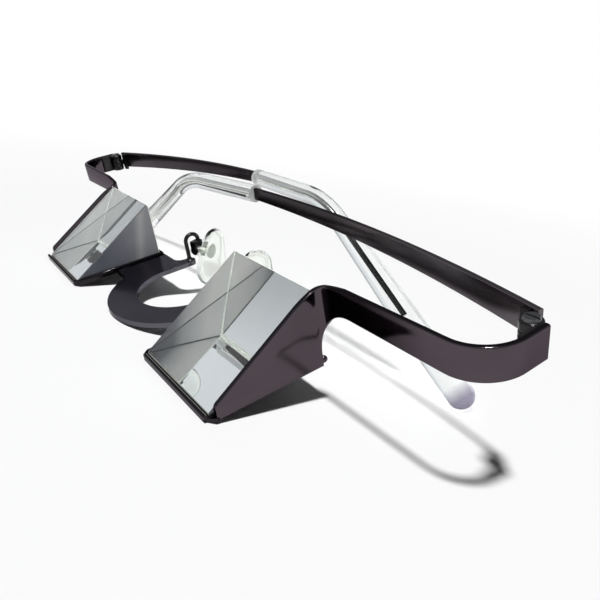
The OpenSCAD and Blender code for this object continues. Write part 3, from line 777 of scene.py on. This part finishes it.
def strip_rings():
    """The bowed strip: its middle line is an arc in plan, its height and level change evenly
    from the hinge to the tip."""
    along = np.linspace(0, 1, 60)
    angle = along * bow_end
    path = np.stack([strip_start + bow_radius * np.sin(angle),
                     bow_radius * (1 - np.cos(angle)) - strip_out], -1)
    middle = strip_level + strip_rise * along
    half = (strip_tall_hinge + (strip_tall_tip - strip_tall_hinge) * along) / 2
    return bar_rings(path, normals_of(path), strip_thickness / 2, middle - half,
                     middle + half, strip_soft)


def tip_path(word, start, reach):
    """The tip's middle line from start to a reach into the drop: straight, an arc down,
    straight again, in the plane y = 0 of the tip's own frame."""
    bend, radius = TIP_BEND[word]
    straight = np.linspace(start, tip_straight, 24)
    turn = np.radians(np.linspace(0, bend, 33))[1:]
    drop = np.linspace(0, reach, 40)[1:]
    down = math.radians(bend)
    x = np.concatenate([straight, tip_straight + radius * np.sin(turn),
                        tip_straight + radius * math.sin(down) + drop * math.cos(down)])
    z = np.concatenate([0 * straight, -radius * (1 - np.cos(turn)),
                        -radius * (1 - math.cos(down)) - drop * math.sin(down)])
    beyond = np.concatenate([0 * straight, 0 * turn, drop])
    return np.stack([x, 0 * x, z], -1), beyond


def from_tip(points, word):
    """From the tip's frame at the end of the strip to the level frame."""
    return in_temple(turned(points, strip_bow, (strip_x, strip_y, tip_level)), word)


# Painted shade: the temples' plating is painted darker towards the middle, about a third as bright
# between X -28 and 28 mm.
strip_plating_with_painted_shade = black_chrome("strip_plating_painted_shade", (0.138, 0.124, 0.132), (0.14, 0.30), (0.06, 0.06, 1),
                            ((-80, 0.8), (-50, 0.5), (-28, 0.34), (28, 0.34), (45, 0.85),
                             (80, 1.0)))
# Painted shade: the bright core steel is painted near black from X 25 mm on.
core_wire_painted_shade = black_chrome("core_wire_painted_shade", (0.80, 0.80, 0.77), (0.10, 0.22), (1, 1, 1),
                         ((-80, 0.9), (-60, 1.0), (16, 1.0), (25, 0.15), (32, 0.03), (80, 0.03)))
for word, side in SIDES.items():
    points, faces = loft(strip_rings())
    path = tip_path(word, core_start, core_reach)[0]
    core, core_faces = rod(path, core_radius, (0, 1, 0), 20)
    shells = [(in_temple(points, word), faces), (from_tip(core, word), core_faces)]
    strip = piece("temple_" + word + "_strip", placed(shells, side), strip_plating_with_painted_shade,
                  "temple_" + word, ["temple_" + word], smooth=40)
    strip.data.materials.append(core_wire_painted_shade)
    for face in strip.data.polygons[-len(core_faces):]:
        face.material_index = 1

# Clear tips
# Tubes of clear soft plastic drawn over the wire cores. They bend down over the ears, grow
# thicker over the last stretch and end in a round nose.


def clear_plastic(name, tone, edge, gloss, waves, violet_near=None):
    """Clear soft plastic, painted darker where it turns away from the eye as shade at its rim, with
    a faint haze and long waves in its skin. Its shadow is pale, because it lets most of a shadow
    ray through. Where a place is given, the plastic within 5 mm of it grows darker and violet."""
    made, shader, add, link = material(name)
    shader.inputs["Transmission Weight"].default_value = 1.0
    shader.inputs["IOR"].default_value = 1.45
    where = add("ShaderNodeTexCoord")
    haze = add("ShaderNodeTexNoise", Scale=300.0, Detail=3.0)
    rough = limits(add("ShaderNodeMapRange"), *gloss)
    # Painted shade: the colour turns to the rim tone where the plastic turns away from the eye.
    rim = add("ShaderNodeLayerWeight", Blend=0.5)
    outer = limits(add("ShaderNodeMapRange"), 0.66, 0.97, "From")
    tint = add("ShaderNodeMix", data_type="RGBA")
    tint.inputs["A"].default_value, tint.inputs["B"].default_value = (*tone, 1), (*edge, 1)
    link(rim.outputs["Facing"], outer.inputs["Value"])
    link(outer.outputs["Result"], tint.inputs["Factor"])
    last = tint
    # Darker and violet within 5 mm of the given place.
    if violet_near is not None:
        apart = add("ShaderNodeVectorMath", operation="DISTANCE")
        apart.inputs[1].default_value = violet_near
        near = limits(add("ShaderNodeMapRange"), 5.0 * MM, 2.8 * MM, "From")
        last = add("ShaderNodeMix", data_type="RGBA", blend_type="MULTIPLY")
        last.inputs["B"].default_value = (0.26, 0.23, 0.33, 1)
        link(where.outputs["Object"], apart.inputs[0])
        link(apart.outputs["Value"], near.inputs["Value"])
        link(near.outputs["Result"], last.inputs["Factor"])
        link(tint.outputs[2], last.inputs[6])
    link(last.outputs[2], shader.inputs["Base Color"])
    wave = add("ShaderNodeTexNoise", Scale=220.0, Detail=1.0)
    bump = add("ShaderNodeBump", Strength=waves[0], Distance=waves[1] * MM)
    rays = add("ShaderNodeLightPath")
    thin = add("ShaderNodeMath", operation="MULTIPLY_ADD")
    thin.inputs[1].default_value, thin.inputs[2].default_value = -0.85, 1
    link(rays.outputs["Is Shadow Ray"], thin.inputs[0])
    link(thin.outputs[0], shader.inputs["Alpha"])
    link(where.outputs["Object"], haze.inputs["Vector"])
    link(where.outputs["Object"], wave.inputs["Vector"])
    link(haze.outputs["Fac"], rough.inputs["Value"])
    link(rough.outputs["Result"], shader.inputs["Roughness"])
    link(wave.outputs["Fac"], bump.inputs["Height"])
    link(bump.outputs["Normal"], shader.inputs["Normal"])
    return made


def tube_radii(beyond):
    """Even along the straight and the bend, then growing to the thick end, and closing as a
    quarter ellipse over the last part."""
    taper = tip_drop - tip_even
    grown = tube_radius + (bulb_radius - tube_radius) * np.clip(beyond / taper, 0, 1)
    nose = np.clip((beyond - tip_drop) / bulb_radius, 0, 1)
    return grown * np.sqrt(np.clip(1 - nose ** 2, 0.0004, 1))


cut_end = ground("tube_cut_end", (-0.05, 0.05),
                 ((0.0, (0.62, 0.63, 0.62)), (1.0, (0.72, 0.73, 0.72))), (0.4, 0.6), 0.3)
round_tube = 40
for word, side in SIDES.items():
    path, beyond = tip_path(word, tube_start, tip_drop)
    nose = np.sin(np.radians(np.linspace(0, 90, 15)))[1:] * bulb_radius
    last = path[-1] - path[-2]
    last /= np.linalg.norm(last)
    path = np.concatenate([path, path[-1] + nose[:, None] * last])
    beyond = np.concatenate([beyond, tip_drop + nose])
    points, faces = rod(path, tube_radii(beyond), (0, 1, 0), round_tube)
    tip_end = place(from_tip(path[-1:], word), side)[0]
    tube_finish = clear_plastic("clear_tube_" + word, (0.95, 0.965, 0.96), (0.06, 0.06, 0.075),
                                (0.0, 0.03), (0.25, 0.06), tip_end)
    tube = piece("temple_tip_" + word + "_tube", placed([(from_tip(points, word), faces)], side),
                 tube_finish, "temple_" + word, ["temple_tip_" + word], smooth=60)
    tube.data.materials.append(cut_end)
    for face in tube.data.polygons[round_tube * (len(path) - 1):round_tube * len(path)]:
        face.material_index = 1

# Pad arms
# Each arm is a black wire soldered to a tail of the bridge. It stands up, turns over and
# comes down to a small forked clevis that holds the pad's lug.
wire_diameter, wire_turn, wire_rise = 0.9, 1.5, 4.2
pad_flare, ear, lug, ear_gap, ear_radius, wire_behind = 20.0, 0.5, 1.2, 0.1, 1.0, 0.75
fork_half, fork_top, arm_edge, joint_drop = 0.8, 2.2, 0.06, 2.4
wire_top = bridge_top + wire_rise
flare = math.radians(pad_flare)
joint = np.array([wire_x - wire_behind * math.sin(flare),
                  wire_y + 2 * wire_turn - wire_behind * math.cos(flare),
                  wire_top - joint_drop])
clevis = lug + 2 * ear_gap + 2 * ear


def in_pad_frame(points):
    """From the frame at the pad screw, y along the screw, to the level frame."""
    return turned(points, 180 - pad_flare, joint)


def fork_ear(low, high):
    """One cheek of the clevis: round below, square above, between two places along y."""
    outline = np.concatenate([arc((0, 0), ear_radius, -180, 0, 25),
                              [[fork_half, 0.7], [fork_half, fork_top],
                               [-fork_half, fork_top], [-fork_half, 0.7]]])
    points, faces = slab(outline, low, high)
    return points[:, [0, 2, 1]], faces


for word, side in SIDES.items():
    over = arc((wire_y + wire_turn, wire_top), wire_turn, 180, 0, 25)
    up = np.stack([np.full(8, wire_y), np.linspace(bridge_top - 0.3, wire_top - 0.1, 8)], -1)
    down = np.array([[wire_y + 2 * wire_turn, wire_top - 0.4],
                     [wire_y + 2 * wire_turn, wire_top - 0.8]])
    yz = np.concatenate([up, over, down])
    wire = rod(np.column_stack([np.full(len(yz), wire_x), yz]), wire_diameter / 2, (1, 0, 0), 20)
    solder = lathe([(0.95, 0), (0.8, 0.12), (0.6, 0.3), (0.5, 0.55), (0.46, 0.8)], 24)
    solder = (solder[0] + [wire_x, wire_y, bridge_top - 0.02], solder[1])
    inner = lug / 2 + ear_gap
    fork = [fork_ear(inner, clevis / 2), fork_ear(-clevis / 2, -inner),
            block((-fork_half, -clevis / 2, ear_radius + 0.1),
                  (fork_half, clevis / 2, fork_top))]
    fork = [(in_pad_frame(p), f) for p, f in fork]
    piece("pad_arm_" + word + "_wire", placed([wire, solder] + fork, side), blackened, "front",
          ["pad_arm_" + word], bevel=arm_edge, smooth=35)

# Nose pads
# Soft clear silicone pads: a rounded drop shape, domed on the side that lies on the nose and
# nearly flat behind. A grey plastic core is moulded in: an eye, a neck and an oval plate.
pad_tall, pad_wide, pad_thick, pad_rim = 13.4, 9.2, 2.2, 1.36
pad_back, pad_drop, pad_splay, pad_lean = 2.1, 2.4, 6.0, 20.0
pad_off = ear_radius + 0.55


def pad_rings():
    """Rings from the flat back over the round rim to the dome: each ring is the drop outline
    drawn in by a share, at a depth. The outline goes round two arcs joined by straight sides."""
    low, high = pad_wide / 2, pad_wide / 2 * 0.7
    low_y, high_y = low - pad_tall / 2, pad_tall / 2 - high
    lean = math.degrees(math.asin((low - high) / (high_y - low_y)))
    outline = np.concatenate([arc((0, low_y), low, 180 - lean, 360 + lean, 40),
                              arc((0.4, high_y), high, lean, 180 - lean, 32)])
    middle = np.array([0.1, -0.4])
    share = np.concatenate([[0.02, 0.5, 0.84], 1 - 0.12 * (1 - np.sin(np.radians([0, 30, 60, 90]))),
                            1 - 0.14 * (1 - np.cos(np.radians([25, 45, 60, 75]))),
                            np.linspace(0.86, 0.02, 9)])
    depth = np.concatenate([[0, 0, 0], 0.55 * (1 - np.cos(np.radians([20, 45, 70, 90]))),
                            0.62 + 0.7 * np.sin(np.radians([25, 45, 60, 75])),
                            pad_rim + (pad_thick - pad_rim)
                            * (1 - (np.linspace(0.86, 0.02, 9) / 0.9) ** 2)])
    drawn = middle + share[:, None, None] * (outline - middle)
    return np.concatenate([np.repeat(depth[:, None, None], len(outline), 1), drawn], -1)


def in_pad_seat(points):
    """From the pad's own frame, x through its thickness, to the level frame."""
    seated = turned(turned(points, pad_splay, axis=1), pad_lean, axis=0)
    return in_pad_frame(seated + [pad_off, -pad_back, -pad_drop])


def pad_eye():
    """The eye of the moulded core: a short ring round the pad screw, which lies along y."""
    outer, inner, half = ear_radius - 0.15, 0.44, lug / 2
    turn = np.linspace(0, 2 * np.pi, 33)[:-1]
    section = [(outer, -half), (outer, half), (inner, half), (inner, -half)]
    points = np.array([[(r * math.cos(a), y, r * math.sin(a)) for r, y in section] for a in turn])
    i, j = np.meshgrid(np.arange(32), np.arange(4), indexing="ij")
    k, m = (i + 1) % 32, (j + 1) % 4
    faces = np.stack([4 * i + j, 4 * i + m, 4 * k + m, 4 * k + j], -1).reshape(-1, 4)
    return points.reshape(-1, 3), faces.tolist()


def lug_bar():
    """The neck from the eye into the pad, narrower than the eye."""
    return block((0.5, -0.45, -0.45), (pad_off + 1.1, 0.45, 0.45))


def core_plate():
    """The oval plate that holds the neck in the soft pad."""
    turn = np.radians(np.linspace(0, 360, 33)[:-1])
    oval = np.stack([1.5 + 1.1 * np.cos(turn), 1.7 + 1.7 * np.sin(turn)], -1)
    points, faces = slab(oval, 0.8, 1.4)
    return points[:, [2, 0, 1]], faces


pad_finish = clear_plastic("clear_pad", (0.93, 0.96, 0.91), (0.22, 0.24, 0.19), (0.02, 0.08),
                           (0.8, 0.2))
core_finish = mottled("pad_core_grey", 2600.0, 3.0, ((0.64, 0.67, 0.62), (0.74, 0.77, 0.72)),
                      (0.35, 0.5))
for word, side in SIDES.items():
    points, faces = loft(pad_rings())
    pad = piece("nose_pad_" + word + "_soft", placed([(in_pad_seat(points), faces)], side),
                pad_finish, "pad_" + word, ["nose_pad_" + word], smooth=60)
    shells = [(in_pad_frame(p), f) for p, f in (pad_eye(), lug_bar())]
    points, faces = core_plate()
    shells.append((in_pad_seat(points), faces))
    piece("pad_core_" + word + "_insert", placed(shells, side), core_finish, "pad_" + word,
          ["pad_core_" + word], smooth=40)

# Screws
# Slotted screws of darkened steel hold the hinges and the pads. Their CAD solids are kept.
steel = mottled("screw_steel", 3500.0, 2.0, ((0.08, 0.08, 0.085), (0.16, 0.16, 0.165)),
                (0.2, 0.34), Metallic=1.0)
for word in SIDES:
    for kind in ("hinge_screw_", "pad_screw_"):
        frame["nodes"][kind + word].data.materials.clear()
        frame["nodes"][kind + word].data.materials.append(steel)
